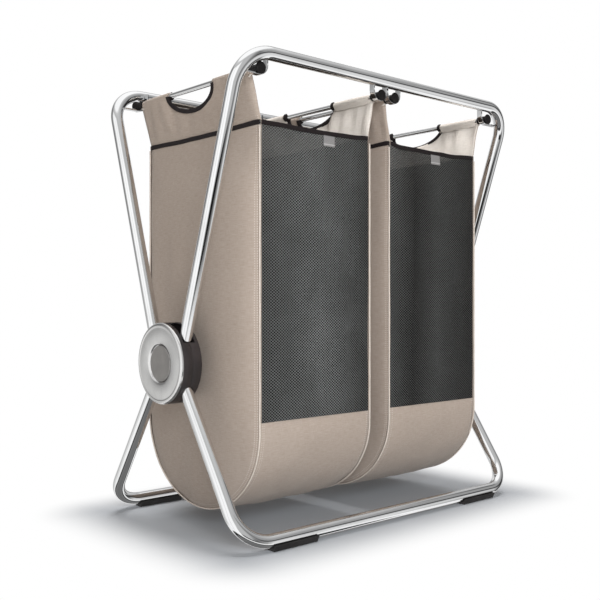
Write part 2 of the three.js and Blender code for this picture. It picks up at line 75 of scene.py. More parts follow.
class Socket:
    """A socket of a finish. Sums and products of it add their Math nodes."""

    def __init__(self, tree, link=None):
        self.tree = tree
        self.link = link

    def node(self, kind, settings, values, output=None):
        made = self.tree.nodes.new(kind)
        for name, value in settings.items():
            if name == "stops":
                ramp = made.color_ramp
                ramp.elements.remove(ramp.elements[1])
                ramp.elements[0].position = value[0][0]
                ramp.elements[0].color = value[0][1]
                for place, shade in value[1:]:
                    ramp.elements.new(place).color = shade
            else:
                setattr(made, name, value)
        for name, value in values.items():
            if isinstance(name, int):
                socket = made.inputs[name]
            else:
                socket = next(s for s in made.inputs if s.name == name and s.enabled)
            if isinstance(value, Socket):
                self.tree.links.new(value.link, socket)
            else:
                socket.default_value = value
        found = [s for s in made.outputs if s.enabled and output in (None, s.name)]
        return Socket(self.tree, found[0] if found else None)

    def maths(self, operation, first, second=0.0):
        return self.node("ShaderNodeMath", {"operation": operation}, {0: first, 1: second})

    def vectors(self, operation, second=(0, 0, 0), output=None):
        values = {0: self, 1: second}
        return self.node("ShaderNodeVectorMath", {"operation": operation}, values, output)

    def __add__(self, other):
        return self.maths("ADD", self, other)

    def __radd__(self, other):
        return self.maths("ADD", other, self)

    def __sub__(self, other):
        return self.maths("SUBTRACT", self, other)

    def __rsub__(self, other):
        return self.maths("SUBTRACT", other, self)

    def __mul__(self, other):
        return self.maths("MULTIPLY", self, other)

    def __rmul__(self, other):
        return self.maths("MULTIPLY", other, self)

    def __truediv__(self, other):
        return self.maths("DIVIDE", self, other)

    def limited(self):
        return self.node("ShaderNodeClamp", {}, {"Value": self})

    def between(self, low, high):
        """0 below low, 1 above high, and smooth in between."""
        settings = {"interpolation_type": "SMOOTHSTEP"}
        values = {"Value": self, "From Min": low, "From Max": high}
        return self.node("ShaderNodeMapRange", settings, values)

    def mixed(self, first, second):
        """A colour that goes from first to second as this value goes from 0 to 1."""
        settings = {"data_type": "RGBA", "clamp_factor": True}
        return self.node("ShaderNodeMix", settings, {"Factor": self, "A": first, "B": second})

    def ramped(self, stops):
        """The grey at this value between stops: place, grey, and blue where that differs."""
        colours = [(place, (grey, grey, *(blue or [grey]), 1)) for place, grey, *blue in stops]
        return self.node("ShaderNodeValToRGB", {"stops": colours}, {0: self}, "Color")

    def part(self, name):
        """One of the X, Y and Z of a place or direction."""
        return self.node("ShaderNodeSeparateXYZ", {}, {0: self}, name)


def new_finish(name, cloth_map=None):
    """An empty finish, and the place on the piece, or on its cloth map, that it starts from."""
    finish = bpy.data.materials.new(name)
    finish.use_nodes = True
    finish.node_tree.nodes.clear()
    start = Socket(finish.node_tree)
    if cloth_map:
        return finish, start.node("ShaderNodeUVMap", {"uv_map": cloth_map}, {}, "UV")
    return finish, start.node("ShaderNodeTexCoord", {}, {}, "Object")


def worked(work, name, finish):
    """The piece that a mesh worked in millimetres becomes."""
    bmesh.ops.scale(work, vec=(mm, mm, mm), verts=work.verts)
    mesh = bpy.data.meshes.new(name)
    work.to_mesh(mesh)
    work.free()
    mesh.materials.append(finish)
    made = bpy.data.objects.new(name, mesh)
    bpy.context.scene.collection.objects.link(made)
    return made


floor_finish, place = new_finish("floor_paper")
shadow_box = (0.31, 0.18, 0)
outside = place.vectors("ABSOLUTE").vectors("SUBTRACT", shadow_box).vectors("MAXIMUM")
reach = outside.vectors("LENGTH", output="Value")
rays = place.node("ShaderNodeLightPath", {}, {}, "Is Camera Ray")
far = reach.between(-0.01, 0.135) * rays
# Painted shade: the floor's colour is dark grey at the hamper and pales to near white 0.35 m out.
painted_shade = reach.between(0.03, 0.35).mixed((0.42, 0.434, 0.457, 1), (0.88, 0.87, 0.85, 1))
paper = place.node("ShaderNodeBsdfDiffuse", {}, {"Color": painted_shade})
glow = place.node("ShaderNodeEmission", {}, {"Color": (1, 1, 1, 1), "Strength": 1.0})
both = place.node("ShaderNodeMixShader", {}, {0: far, 1: paper, 2: glow})
place.node("ShaderNodeOutputMaterial", {}, {"Surface": both})

floor_radius = 14000
work = bmesh.new()
bmesh.ops.create_circle(work, cap_ends=True, radius=floor_radius, segments=64)
floor = worked(work, "floor", floor_finish)
floor.visible_glossy = False

# The world round it is white to the eye and soft grey as a light. For the chrome it is a
# studio: white walls, a dark one to the right of the camera, a grey ceiling, a bright ground.
world = bpy.data.worlds.new("studio")
bpy.context.scene.world = world
world.use_nodes = True
world.node_tree.nodes.clear()
start = Socket(world.node_tree)
toward = start.node("ShaderNodeTexCoord", {}, {}, "Generated")
height = toward.part("Z")
depth = 0.0 - height
turn = start.maths("ARCTAN2", toward.part("Y"), toward.part("X")) / (2 * math.pi) + 0.5
upper = turn.ramped([
    (0.0, 1.0), (0.012, 0.72), (0.03, 1.0), (0.145, 1.0), (0.175, 0.62), (0.235, 0.50),
    (0.285, 0.22), (0.310, 0.04, 0.042), (0.340, 0.010, 0.011), (0.440, 0.010, 0.011),
    (0.475, 0.05), (0.500, 0.48), (0.58, 0.62), (0.62, 0.16), (0.66, 0.75), (0.745, 0.50),
    (0.79, 0.16), (0.84, 0.20), (0.885, 0.34), (0.940, 1.0), (1.0, 1.0),
])
lower = turn.ramped([
    (0.0, 1.0), (0.008, 0.60), (0.022, 1.0), (0.105, 1.0), (0.128, 0.40), (0.145, 0.02),
    (0.220, 0.006), (0.260, 0.12), (0.320, 0.34), (0.355, 0.70), (0.395, 0.70), (0.430, 0.25),
    (0.455, 0.04), (0.478, 0.03), (0.500, 0.45), (0.58, 0.60), (0.63, 0.12), (0.67, 0.75),
    (0.745, 0.70), (0.79, 0.40, 0.395), (0.84, 0.66, 0.655), (0.890, 0.76, 0.755), (0.925, 1.0),
    (1.0, 1.0),
])
overhead = height.between(0.1, 1.0).ramped([
    (0.0, 0.30), (0.45, 0.34), (0.75, 0.50), (0.86, 0.62), (0.92, 1.0), (1.0, 1.0),
])
ground = depth.between(0.46, 1.0).ramped([
    (0.0, 0.95), (0.36, 0.90), (0.44, 0.06), (0.66, 0.02), (0.78, 0.20), (1.0, 0.15),
])
reflected = height.between(-0.16, 0.16).mixed(lower, upper)
left_wall = turn.between(0.11, 0.14) * (1 - turn.between(0.22, 0.27))
left_wall = left_wall * height.between(-0.365, -0.325)
reflected = left_wall.mixed(reflected, (0.50, 0.50, 0.50, 1))
ahead_wall = turn.between(0.28, 0.33) * (1 - turn.between(0.42, 0.48))
rising = height.between(0.60, 0.70) + height.between(0.17, 0.27) * ahead_wall
reflected = rising.limited().mixed(reflected, overhead)
reflected = depth.between(0.48, 0.58).mixed(reflected, ground)
seen = start.node("ShaderNodeLightPath", {}, {}, "Is Camera Ray")
through = start.node("ShaderNodeLightPath", {}, {}, "Is Transmission Ray")
glossy = start.node("ShaderNodeLightPath", {}, {}, "Is Glossy Ray")
white = start.node("ShaderNodeBackground", {}, {"Color": (1, 1, 1, 1), "Strength": 1.0})
soft = start.node("ShaderNodeBackground", {}, {"Color": (1.0, 0.955, 0.90, 1), "Strength": 0.36})
mirrored = start.node("ShaderNodeBackground", {}, {"Color": reflected, "Strength": 1.12})
shown = start.node("ShaderNodeMixShader", {}, {0: (seen + through).limited(), 1: soft, 2: white})
shown = start.node("ShaderNodeMixShader", {}, {0: glossy, 1: shown, 2: mirrored})
start.node("ShaderNodeOutputWorld", {}, {"Surface": shown})

# The lamps: one wide soft lamp overhead, a narrow weak one that shines down between the bags,
# and a slightly blue one behind the camera.
lamp_aim = Vector((0.0, 0.0, 0.3))
lamp_white = (1.0, 1.0, 1.0)
lamp_blue = (0.91, 0.96, 1.0)
lamps = [
    ("top_lamp", (0.28, 0.25, 2.4), 2.0, 2.0, 56, lamp_white),
    ("slit_lamp", (0.0, 0.0, 2.5), 0.14, 1.6, 9, lamp_white),
    ("front_lamp", (-1.25, -2.05, 0.85), 1.1, 1.1, 49, lamp_blue),
]
for name, place, width, length, power, colour in lamps:
    lamp = bpy.data.lights.new(name, "AREA")
    lamp.shape = "RECTANGLE"
    lamp.size = width
    lamp.size_y = length
    lamp.energy = power
    lamp.color = colour
    holder = bpy.data.objects.new(name, lamp)
    holder.location = place
    holder.rotation_euler = (lamp_aim - Vector(place)).to_track_quat("-Z", "Y").to_euler()
    holder.visible_glossy = False
    bpy.context.scene.collection.objects.link(holder)

# The camera stands off the hamper's left front corner, level, at half of its height, and takes
# in the whole hamper with a little floor round it.
sensor = 36.0
frame_pixels = 600
focal_pixels = 867.112
camera = bpy.data.cameras.new("camera")
camera.sensor_width = sensor
camera.lens = focal_pixels * sensor / frame_pixels
camera.clip_start = 0.05
camera.clip_end = 50
eye = bpy.data.objects.new("camera", camera)
eye.location = (-1.0460, -1.1322, 0.3580)
eye.rotation_euler = (math.radians(90), 0, math.radians(48.455 - 90))
bpy.context.scene.collection.objects.link(eye)
bpy.context.scene.camera = eye
bpy.context.scene.view_settings.view_transform = "Standard"

# The four frame tubes: thin-walled steel tube, 20 mm across, bent to a U on a tube bender and
# chromed bright. Both upper and both lower tubes meet in the hubs at the hamper's two ends.
tube_radius = 10.0
tube_wall = 1.2
leg_place = 310.0
hub_height = 261.0


def grained(place, scale, detail):
    """Soft grain from 0 to 1 over a finish, finer where its scale is higher."""
    values = {"Vector": place, "Scale": scale, "Detail": detail}
    return place.node("ShaderNodeTexNoise", {}, values, "Fac")


def raised(height, strength, distance):
    """The slight relief that this height gives a finish."""
    values = {"Strength": strength, "Distance": distance, "Height": height}
    return height.node("ShaderNodeBump", {}, values)


def finished(place, colour, rough, others):
    """End a finish with a surface of this colour and roughness, and of other values by name."""
    values = {"Base Color": colour, "Roughness": rough, **others}
    surface = place.node("ShaderNodeBsdfPrincipled", {}, values)
    place.node("ShaderNodeOutputMaterial", {}, {"Surface": surface})


chrome, place = new_finish("bright_chrome")
smudge = grained(place, 14.0, 3.0)
speck = grained(place, 900.0, 2.0)
metal = smudge.between(0.35, 0.7).mixed((0.86, 0.865, 0.87, 1), (0.79, 0.795, 0.80, 1))
rough = 0.045 + 0.05 * smudge.between(0.4, 0.75)
relief = raised(speck, 0.012, 0.0002)
finished(place, metal, rough, {"Metallic": 1.0, "Normal": relief})


def drawn(work, edges, move):
    """Draw an open end further along by a straight move, and return its new end."""
    made = bmesh.ops.extrude_edge_only(work, edges=edges)["geom"]
    points = [e for e in made if isinstance(e, bmesh.types.BMVert)]
    bmesh.ops.translate(work, vec=move, verts=points)
    return [e for e in made if isinstance(e, bmesh.types.BMEdge)]


def bent(work, edges, centre, axis, angle, steps):
    """Bend an open end round a centre, and return its new end."""
    made = bmesh.ops.spin(work, geom=edges, cent=centre, axis=axis, angle=angle, steps=steps)
    return [e for e in made["geom_last"] if isinstance(e, bmesh.types.BMEdge)]


def smooth(made, sharp=35):
    """Shade a piece smooth, and keep the edges that are sharper than this many degrees."""
    made.data.shade_smooth()
    made.data.set_sharp_from_angle(angle=math.radians(sharp))
    return made


def placed(made, body, finish_slot, *nodes):
    """Fix a piece to its body, in place of its CAD nodes."""
    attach(made, body)
    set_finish(made, finish_slot)
    if nodes:
        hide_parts(*nodes)
    return made


tube_sides = 40
bend_steps = 14
mouth_depth = 12.0
tubes = [
    ("back_upper_tube", "back_frame", 177.5, 710.0, 27.7, 20.0, 54.5),
    ("front_upper_tube", "front_frame", -177.5, 710.0, 27.7, 20.0, 54.5),
    ("back_lower_tube", "front_frame", 180.0, 15.0, 15.2, 26.0, 52.0),
    ("front_lower_tube", "back_frame", -180.0, 15.0, 15.2, 26.0, 52.0),
]
for node, body, rail_y, rail_z, miss, tube_start, bend in tubes:
    front = math.copysign(1, rail_y)
    up = math.copysign(1, rail_z - hub_height)
    run = math.hypot(rail_y, rail_z - hub_height)
    lean = math.atan2(abs(rail_y), abs(rail_z - hub_height)) - math.asin(miss / run)
    leg = Vector((0, front * math.sin(lean), up * math.cos(lean)))
    foot = Vector((0, front * math.cos(lean), -up * math.sin(lean))) * miss
    first = Vector((leg_place, 0, hub_height)) + foot + leg * tube_start
    corner = Vector((leg_place, rail_y, rail_z))
    normal = Vector((1, 0, 0)).cross(leg)
    work = bmesh.new()
    upright = leg.to_track_quat("Z", "X").to_matrix().to_4x4()
    made = bmesh.ops.create_circle(work, segments=tube_sides, radius=tube_radius, matrix=upright)
    bmesh.ops.translate(work, vec=first, verts=made["verts"])
    end = drawn(work, list(work.edges), leg * ((corner - first).length - bend))
    turning = corner - leg * bend - Vector((bend, 0, 0))
    end = bent(work, end, turning, normal, math.pi / 2, bend_steps)
    end = drawn(work, end, Vector((-2 * (leg_place - bend), 0, 0)))
    turning = Vector((-turning.x, turning.y, turning.z))
    end = bent(work, end, turning, normal, math.pi / 2, bend_steps)
    drawn(work, end, -leg * ((corner - first).length - bend))
    mouths = bmesh.ops.holes_fill(work, edges=work.edges)["faces"]
    bmesh.ops.inset_region(work, faces=mouths, thickness=tube_wall, depth=0)
    sunk = bmesh.ops.extrude_discrete_faces(work, faces=mouths)["faces"]
    for face in sunk:
        bmesh.ops.translate(work, vec=-mouth_depth * face.normal, verts=face.verts)
    bmesh.ops.remove_doubles(work, verts=work.verts, dist=0.001)
    bmesh.ops.recalc_face_normals(work, faces=work.faces)
    tube = worked(work, "bright_" + node, chrome)
    placed(smooth(tube, 50), body, "chrome", node)

# The hubs: a drum of black moulded plastic in two halves, screwed together over a turning
# core. Slots in its rim let the legs swing. The bolt, nut and screws inside are plated steel.
edge_width = 0.5


def shade(code):
    """The colour that renders as this hex code."""
    parts = [int(code[i:i + 2], 16) / 255 for i in (0, 2, 4)]
    linear = [p / 12.92 if p <= 0.04045 else ((p + 0.055) / 1.055) ** 2.4 for p in parts]
    return (*linear, 1.0)


drum, place = new_finish("black_hub_plastic")
grain = grained(place, 1500.0, 2.0)
cloudy = grained(place, 45.0, 4.0)
body_colour = cloudy.between(0.35, 0.7).mixed(shade("262222"), shade("322C2C"))
relief = raised(grain, 0.25, 0.0002)
finished(place, body_colour, 0.42 + 0.14 * cloudy, {"Normal": relief})

steel, place = new_finish("plated_steel")
turned = grained(place, 700.0, 3.0)
metal = turned.mixed(shade("B9B7AE"), shade("8F8D86"))
finished(place, metal, 0.28 + 0.14 * turned, {"Metallic": 1.0})


def eased(node, name, finish, width, sharp=35, segments=2):
    """The node's own shape, its points joined and its sharp edges rounded by this width."""
    work = bmesh.new()
    work.from_mesh(frame["nodes"][node].data)
    bmesh.ops.scale(work, vec=(1 / mm, 1 / mm, 1 / mm), verts=work.verts)
    bmesh.ops.remove_doubles(work, verts=work.verts, dist=0.005)
    bmesh.ops.dissolve_limit(work, angle_limit=math.radians(2), verts=work.verts, edges=work.edges)
    edges = [e for e in work.edges if e.is_manifold and e.calc_face_angle(0) > math.radians(sharp)]
    bmesh.ops.bevel(
        work, geom=edges, offset=width, segments=segments, profile=0.5,
        affect="EDGES", material=-1, clamp_overlap=True,
    )
    return smooth(worked(work, name, finish), sharp)


for side in ("left", "right"):
    for half in ("outer_shell", "inner_shell"):
        node = side + "_hub_" + half
        shell = eased(node, side + "_drum_" + half, drum, edge_width)
        placed(shell, "back_frame", "hub_plastic", node)
    for hidden, finish in (
        ("rotor", drum), ("axle_bolt", steel), ("axle_nut", steel),
        ("front_screw", steel), ("back_screw", steel),
    ):
        finishes = frame["nodes"][side + "_hub_" + hidden].data.materials
        finishes.clear()
        finishes.append(finish)

# The hub covers: a domed ring pressed from sheet and chromed, clipped on the drum's outer
# face, and in its middle a flat cap of matt grey plastic with a thin turned edge.
cap_finish, place = new_finish("grey_cap_plastic")
grain = grained(place, 2200.0, 2.0)
cloudy = grained(place, 60.0, 3.0)
grey = cloudy.between(0.3, 0.75).mixed(shade("767371"), shade("807D7A"))
relief = raised(grain, 0.2, 0.0001)
finished(place, grey, 0.5 + 0.1 * cloudy, {"Normal": relief})

ring_finish, place = new_finish("satin_chrome")
smudge = grained(place, 30.0, 3.0)
metal = smudge.between(0.35, 0.7).mixed((0.78, 0.775, 0.77, 1), (0.72, 0.715, 0.71, 1))
finished(place, metal, 0.17 + 0.06 * smudge, {"Metallic": 1.0})

drum_face = 325.8
both_ends = [("left", -1), ("right", 1)]
ring_profile = [
    (28.3, 0.3), (62.0, 0.3), (62.5, 0.7), (62.5, 1.0), (62.0, 2.3), (61.3, 3.2), (60.5, 3.85),
    (59.5, 4.3), (58.3, 4.6), (57.2, 4.65), (56.4, 4.45), (55.6, 4.2), (54.4, 4.2), (52.0, 4.35),
    (47.0, 4.5), (42.0, 4.45), (37.0, 4.1), (33.5, 3.75), (31.6, 3.4), (30.7, 3.0), (30.0, 2.2),
    (29.2, 1.3), (28.7, 0.9), (28.3, 0.8), (28.3, 0.3),
]
cap_profile = [
    (0.0, 0.3), (27.1, 0.3), (27.5, 0.7), (27.5, 2.1), (27.2, 2.6), (26.7, 2.8), (26.1, 2.75),
    (25.8, 2.5), (25.3, 2.45), (0.0, 2.45),
]


def turned_piece(name, profile, centre, axis, facing, finish, steps):
    """A piece turned about the X or Y axis through centre, from its radii and heights."""
    work = bmesh.new()
    axis = Vector(axis)
    spoke = Vector((axis.y, axis.x, 0))
    points = [work.verts.new(axis * facing * rise + spoke * radius) for radius, rise in profile]
    edges = [work.edges.new(pair) for pair in zip(points, points[1:])]
    bmesh.ops.spin(
        work, geom=points + edges, cent=(0, 0, 0), axis=axis, angle=2 * math.pi,
        steps=steps, use_merge=True,
    )
    bmesh.ops.remove_doubles(work, verts=work.verts, dist=0.001)
    bmesh.ops.recalc_face_normals(work, faces=work.faces)
    bmesh.ops.translate(work, vec=centre, verts=work.verts)
    return smooth(worked(work, name, finish), 40)


for side, outward in both_ends:
    centre = (outward * drum_face, 0, hub_height)
    node = side + "_hub_chrome_ring"
    name = side + "_cover_ring"
    ring = turned_piece(name, ring_profile, centre, (1, 0, 0), outward, ring_finish, 96)
    placed(ring, "back_frame", "chrome", node)
    node = side + "_hub_centre_cap"
    name = side + "_cover_cap"
    cap = turned_piece(name, cap_profile, centre, (1, 0, 0), outward, cap_finish, 72)
    placed(cap, "back_frame", "cap_plastic", node)

# The hooks: six strips of spring steel, 10 mm wide, bent to a seat for each rod and an arm that
# is welded behind the top rail, and chromed with it. The middle ones carry two rods.
for side in ("front", "back"):
    for where in ("left", "middle", "right"):
        node = side + "_" + where + "_hook"
        strip = eased(node, side + "_" + where + "_strip", chrome, edge_width, 20)
        placed(strip, side + "_frame", "chrome", node)

# The feet: half-round pads of black rubber, pressed on under both low rails, two to a rail.
# They grip the floor and keep the chrome off it.
rubber, place = new_finish("black_rubber")
grain = grained(place, 900.0, 4.0)
dust = grained(place, 70.0, 4.0)
black = dust.between(0.45, 0.75).mixed(shade("1B1919"), shade("2A2727"))
relief = raised(grain, 0.3, 0.0002)
finished(place, black, 0.62 + 0.15 * dust, {"Normal": relief})

for side in ("front", "back"):
    body = "back_frame" if side == "front" else "front_frame"
    for where in ("left", "right"):
        node = side + "_" + where + "_foot"
        pad = eased(node, side + "_" + where + "_pad", rubber, 2 * edge_width, 30, 3)
        placed(pad, body, "rubber", node)

# The rods: four straight chromed steel rods, 8 mm across, that hang in the hooks. A black
# plastic cap with a wide flange closes each end, so that the rod can't slip out of its seat.
cap_black, place = new_finish("black_rod_cap_plastic")
scuff = grained(place, 160.0, 4.0)
black = scuff.between(0.5, 0.8).mixed(shade("181616"), shade("262322"))
relief = raised(scuff, 0.15, 0.0002)
finished(place, black, 0.5 + 0.15 * scuff, {"Normal": relief, "Specular IOR Level": 0.25})

rod_height = 689.8
rod_end = 167.9
flange_face = 168.2
rod_places = {"outer": 267.5, "inner": 15.9}
rod_profile = [
    (0.0, -rod_end), (3.4, -rod_end), (4.0, -rod_end + 0.6),
    (4.0, rod_end - 0.6), (3.4, rod_end), (0.0, rod_end),
]
end_profile = [
    (4.1, -20.0), (6.0, -20.0), (6.5, -19.4), (6.5, -1.2), (6.9, -0.4), (8.0, 0.0),
    (8.7, 0.3), (9.0, 0.9), (9.0, 1.7), (8.5, 2.3), (7.6, 2.5), (3.0, 2.3),
    (0.0, 2.2), (0.0, 0.2), (4.1, 0.0), (4.1, -20.0),
]
for side, outward in both_ends:
    for where, reach in rod_places.items():
        node = side + "_bag_" + where + "_rod"
        centre = Vector((outward * reach, 0, rod_height))
        name = side + "_" + where + "_bright_rod"
        rod = turned_piece(name, rod_profile, centre, (0, 1, 0), 1, chrome, 24)
        placed(rod, side + "_bag", "chrome", node)
        for end, front in (("front", -1), ("back", 1)):
            seat = centre + Vector((0, front * flange_face, 0))
            name = node + "_" + end + "_plug"
            cap = turned_piece(name, end_profile, seat, (0, 1, 0), front, cap_black, 36)
            placed(cap, side + "_bag", "rod_cap_plastic", node + "_" + end + "_cap")

# The bags' side panels: woven canvas, one cut piece each, with a straight front and back edge,
# a half-round foot, and at the top a flap that is turned over its rod and sewn to a sleeve.
# A hand hole is cut from the middle of the flap, through the sleeve, so the rod shows in it.
thread = 0.0009
stitch_pitch = 0.0036
stitch_rows = (0.0045, 0.0080)
stitch_edge = (0.0004, 0.0009)
no_seam = 20.0


def woven(name, *codes):
    """Plain-woven canvas of these colours, with its seams' stitches, laid out on its own cut."""
    light, dark, speckle, faded, sewing = [shade(code) for code in codes]
    finish, cut = new_finish(name, "Cut")
    wave = 2 * math.pi / thread
    ribs = cut.maths("SINE", cut.part("X") * wave) * cut.maths("SINE", cut.part("Y") * wave)
    wide = cut.node("ShaderNodeMapping", {}, {"Vector": cut, "Scale": (70, 1300, 1)})
    tall = cut.node("ShaderNodeMapping", {}, {"Vector": cut, "Scale": (1300, 110, 1)})
    slub_wide = grained(wide, 1.0, 2.0)
    slub_tall = grained(tall, 1.0, 2.0)
    slubs = slub_wide.between(0.35, 0.75) * 0.65 + slub_tall.between(0.35, 0.75) * 0.35
    values = {"Vector": cut, "Scale": 140.0, "Detail": 5.0, "Roughness": 0.65}
    mottle = cut.node("ShaderNodeTexNoise", {}, values, "Fac")
    worn = grained(cut, 7.0, 3.0)
    yarn = slubs.mixed(light, dark)
    yarn = (mottle.between(0.35, 0.75) * 0.16).mixed(yarn, speckle)
    yarn = (worn.between(0.45, 0.8) * 0.15).mixed(yarn, faded)
    seam = cut.node("ShaderNodeUVMap", {"uv_map": "Seam"}, {}, "UV")
    edge_gap = seam.part("X")
    dash = cut.maths("SINE", seam.part("Y") * (2 * math.pi / stitch_pitch)).between(-0.4, 0.3)
    row_near = 1 - cut.maths("ABSOLUTE", edge_gap - stitch_rows[0]).between(*stitch_edge)
    row_far = 1 - cut.maths("ABSOLUTE", edge_gap - stitch_rows[1]).between(*stitch_edge)
    rows = (row_near + row_far).limited()
    stitches = rows * dash
    # A narrow band at each sewn edge: a dip in the relief, and its yarn darkened as painted shade in
    # the seam's crease.
    seam_crease_shade = 1 - edge_gap.between(0.0008, 0.0024)
    yarn = (rows * (1 - dash) * 0.18).mixed(yarn, dark)
    yarn = (stitches * 0.4).mixed(yarn, sewing)
    yarn = (seam_crease_shade * 0.35).mixed(yarn, dark)
    height = ribs * 0.3 + slubs * 0.3 + stitches * 1.3 - rows * 0.8 - seam_crease_shade * 1.2
    relief = raised(height, 0.5, 0.0004)
    sheen = {"Sheen Weight": 0.12, "Sheen Roughness": 0.4, "Specular IOR Level": 0.2}
    finished(cut, yarn, 0.62 + 0.12 * mottle, {"Normal": relief, **sheen})
    return finish


canvas = woven("tan_canvas", "AA9C91", "97887C", "89796D", "B7AAA0", "D6CBC2")
flap_back = woven("flap_back", "DAD2CA", "C6BCB2", "B8ADA2", "E2DAD2", "E0D8D0")
# The cloth's back below the rim, much darker than the flap's back: painted shade for the dim inside
# of the bag.
bag_inside = woven("bag_inside", "6A6058", "5A5149", "504740", "746A61", "857A70")

cloth_thickness = 1.7
half_depth = 149.0
foot_height = 30.0
curve_start = 162.0
curve_rise = curve_start - foot_height
curve_radius = (half_depth + curve_rise) / 2
rim_height = 621.0
seam_top = rim_height + 6
bag_outer = 253.0
bag_inner = 23.5
bag_middle = Vector((138, 0, 350))
panel_planes = {"outer": bag_outer, "inner": bag_inner}
panel_seeds = {"left_outer": 3.0, "left_inner": 10.0, "right_outer": 17.0, "right_inner": 24.0}
sleeve_radius = 5.1
hole_centre = 4.0
hole_half = 62.0
hole_drop = 31.0
swells = {"outer": (7.0, 11.0), "inner": (4.0, 2.0)}
swell_run = 32
swell_fade = 110
front_run = 180
corner_inset = 3.0
corner_run = 9
sleeve_turn = math.radians(200)
sleeve_steps = 12
past_rod = 1.0
under_rod = 3.5
join_gap = 0.02
hem_depth = 8.0
hem_gap = 1.0
hem_rows = 5
curve_rows = 18
straight_rows = 34
flap_rows = 10
panel_rows = curve_rows + straight_rows + flap_rows
edge_columns = 14
hole_columns = 24
panel_columns = 2 * edge_columns + hole_columns
panel_creases = [(2.2, 0.35, 46, 0), (1.2, 1.0, 75, 5)]
smooth_flap = [(4.0, 0.25, 24, 9), (2.2, 1.0, 60, 2)]
loose_flap = [(11.0, 0.25, 24, 9), (2.2, 1.0, 60, 2)]


def rumple(across, along, size, seed):
    """A soft uneven rise, from -1 to 1, of cloth about this many millimetres from fold to fold."""
    return noise.noise(Vector((across / size, along / size, seed)))


def creased(across, along, seed, kinds):
    """The rise of cloth with these kinds of crease, each a height, a stretch, a size and a seed."""
    rises = [
        high * rumple(across, along * stretch, size, seed + step)
        for high, stretch, size, step in kinds
    ]
    return sum(rises)


def softened(share):
    """0 below 0, 1 above 1, and smooth in between."""
    share = max(0.0, min(1.0, share))
    return share * share * (3 - 2 * share)


def soft_grid(columns, rows):
    """A flat grid of cloth, and each point's column and row."""
    work = bmesh.new()
    bmesh.ops.create_grid(work, x_segments=columns, y_segments=rows, size=0.5)
    steps = {v: (round((v.co.x + 0.5) * columns), round((v.co.y + 0.5) * rows)) for v in work.verts}
    return work, steps


def marked(work, cut_place, seam_place=None):
    """Give the cloth its two maps: where on the cut it is, and how far from its seam."""
    for name, chosen in (("Cut", cut_place), ("Seam", seam_place or cut_place)):
        layer = work.loops.layers.uv.new(name)
        for face in work.faces:
            for loop in face.loops:
                across, along = chosen(loop.vert, face)
                loop[layer].uv = (across * mm, along * mm)


def walled(work, name, thickness, *finishes):
    """The piece of cloth that a mesh becomes, its inner faces in the finish after their own."""
    made = smooth(worked(work, name, finishes[0]), 80)
    wall = made.modifiers.new("thickness", "SOLIDIFY")
    wall.thickness = thickness * mm
    wall.offset = 0.0
    wall.use_even_offset = False
    wall.material_offset = min(1, len(finishes) - 1)
    for finish in finishes[1:]:
        made.data.materials.append(finish)
    return made


def faced(work, outward):
    """Point all faces of a piece of cloth away from its bag's middle."""
    middle = Vector((outward * bag_middle.x, 0, bag_middle.z))
    bmesh.ops.recalc_face_normals(work, faces=work.faces)
    if sum((f.calc_center_median() - middle).dot(f.normal) * f.calc_area() for f in work.faces) < 0:
        bmesh.ops.reverse_faces(work, faces=work.faces)


def panel_column(column):
    """How far back a column of a side panel lies at the rim, from the front edge to the back."""
    hole_front = hole_centre - hole_half
    hole_back = hole_centre + hole_half
    if column <= edge_columns:
        return -half_depth + (hole_front + half_depth) * column / edge_columns
    column -= edge_columns
    if column <= hole_columns:
        return hole_front + 2 * hole_half * column / hole_columns
    return hole_back + (half_depth - hole_back) * (column - hole_columns) / edge_columns


def seam_of_side(y, z):
    """How far a point of a side panel is from its sewn edge, and how far along that edge."""
    if z >= curve_start:
        return half_depth - abs(y), rim_height - z
    level = math.hypot(y / half_depth, (curve_start - z) / curve_rise)
    turn = math.atan2((curve_start - z) / curve_rise, abs(y) / half_depth)
    return (1 - level) * half_depth, rim_height - curve_start + turn * curve_radius


def flap_of(outward, where):
    """Which way a side panel faces, its plane, its rod, and its flap's straight rise from the rim."""
    away = outward if where == "outer" else -outward
    plane = outward * panel_planes[where]
    rod_x = outward * rod_places[where]
    to_rod = Vector((rod_x, 0, rod_height)) - Vector((plane, 0, rim_height))
    swing = math.asin(sleeve_radius / to_rod.length)
    flap = to_rod.normalized() * math.sqrt(to_rod.length ** 2 - sleeve_radius ** 2)
    return away, plane, rod_x, Matrix.Rotation(away * swing, 3, "Y") @ flap


